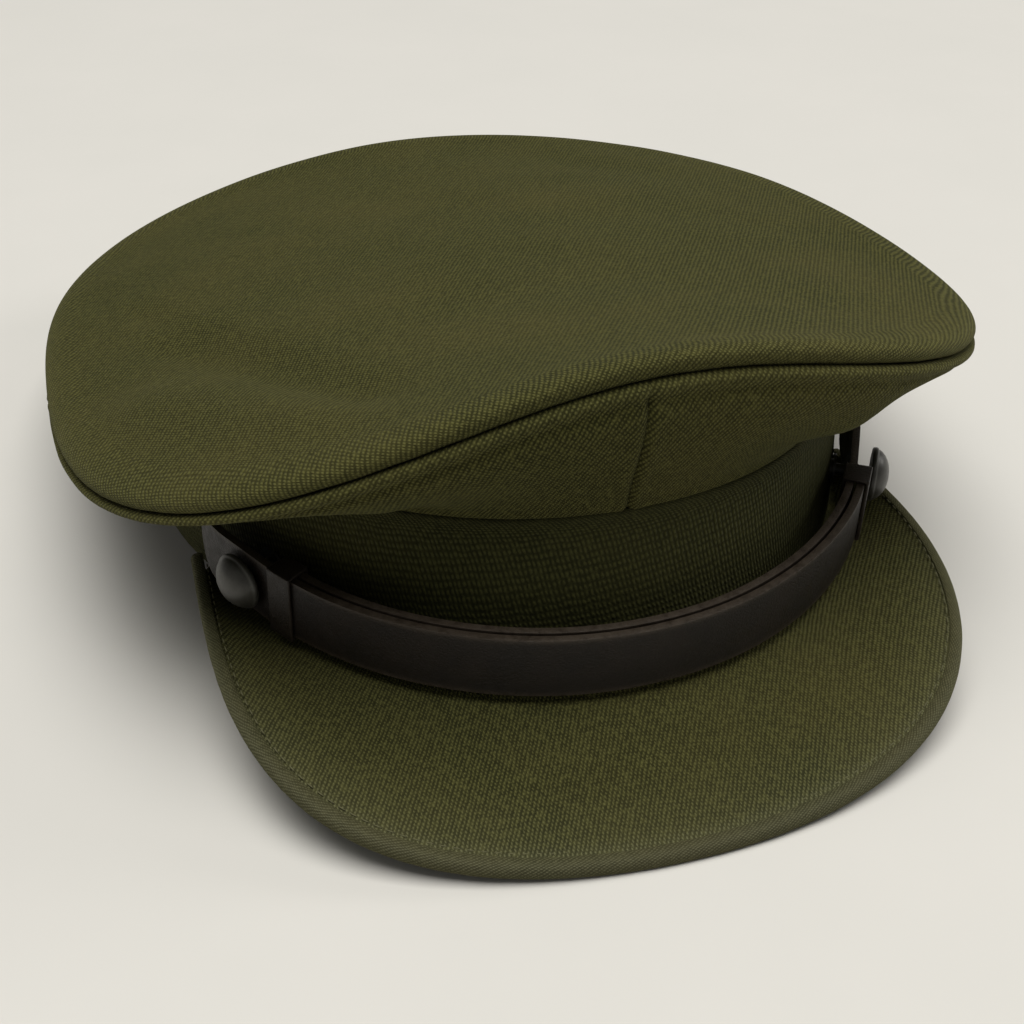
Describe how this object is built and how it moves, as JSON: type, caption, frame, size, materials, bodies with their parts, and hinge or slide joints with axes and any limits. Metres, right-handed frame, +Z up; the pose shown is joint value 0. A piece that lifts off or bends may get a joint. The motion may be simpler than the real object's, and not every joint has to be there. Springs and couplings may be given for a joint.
{
  "type": "military peaked cap",
  "caption": "Olive twill service cap with a wide soft crown, cloth band, cloth covered peak and a dark leather chin strap held by plain domed side buttons.",
  "frame": {"origin": "centre of the whole cap's outline, on the surface that it rests on", "axes": "+Z up from that surface, -Y towards the peak, +X to the right of a viewer facing the peak (the wearer's left)"},
  "size_m": [0.215, 0.2792, 0.094],
  "materials": {
    "crown_cloth": "worsted twill, dull",
    "band_cloth": "worsted twill, dull",
    "peak_cloth": "steep worsted twill, dull",
    "peak_under_cloth": "plain weave, dull",
    "edge_binding": "worn twill binding",
    "lining_cloth": "satin lining",
    "stiff_canvas": "stiffened canvas",
    "stiff_board": "pressed fibre board",
    "sweatband_leather": "smooth brown leather",
    "strap_leather": "polished dark brown leather",
    "button_lacquer": "dark bronze lacquer, glossy",
    "pin_brass": "plain brass",
    "spring_steel": "white coated spring wire"
  },
  "bodies": {
    "cap": {"cap_band": "band_cloth", "band_stiffener": "stiff_board", "sweatband": "sweatband_leather", "crown_top": "crown_cloth", "quarter_front_left": "crown_cloth", "quarter_front_right": "crown_cloth", "quarter_rear_left": "crown_cloth", "quarter_rear_right": "crown_cloth", "crown_hoop": "spring_steel", "front_support": "stiff_canvas", "lining_side": "lining_cloth", "lining_top": "lining_cloth", "peak_cover": "peak_cloth", "peak_board": "stiff_board", "peak_lining": "peak_under_cloth", "peak_binding": "edge_binding", "eyelet_left": "button_lacquer", "eyelet_right": "button_lacquer"},
    "chin_strap": {"chin_strap_outer": "strap_leather", "chin_strap_inner": "strap_leather"},
    "keeper_left": {"keeper_left": "strap_leather"},
    "keeper_right": {"keeper_right": "strap_leather"},
    "button_left": {"button_left": "button_lacquer", "split_pin_left": "pin_brass"},
    "button_right": {"button_right": "button_lacquer", "split_pin_right": "pin_brass"}
  },
  "joints": [
    {"name": "chin_strap_lift", "type": "hinge", "parent": "cap", "child": "chin_strap", "pos_m": [0, -0.06066, 0.03028], "axis": [-1, 0, 0], "range_deg": [0, 14]},
    {"name": "keeper_left_slide", "type": "hinge", "parent": "chin_strap", "child": "keeper_left", "pos_m": [0, -0.02824, 0.03218], "axis": [0, -0.0584, 0.9983], "range_deg": [0, 48]},
    {"name": "keeper_right_slide", "type": "hinge", "parent": "chin_strap", "child": "keeper_right", "pos_m": [0, -0.02824, 0.03218], "axis": [0, 0.0584, -0.9983], "range_deg": [0, 48]},
    {"name": "button_left_turn", "type": "hinge", "parent": "cap", "child": "button_left", "pos_m": [-0.07407, -0.06214, 0.0302], "axis": [-0.8788, -0.4763, -0.0279], "continuous": true},
    {"name": "button_right_turn", "type": "hinge", "parent": "cap", "child": "button_right", "pos_m": [0.07407, -0.06214, 0.0302], "axis": [0.8788, -0.4763, -0.0279], "continuous": true}
  ]
}
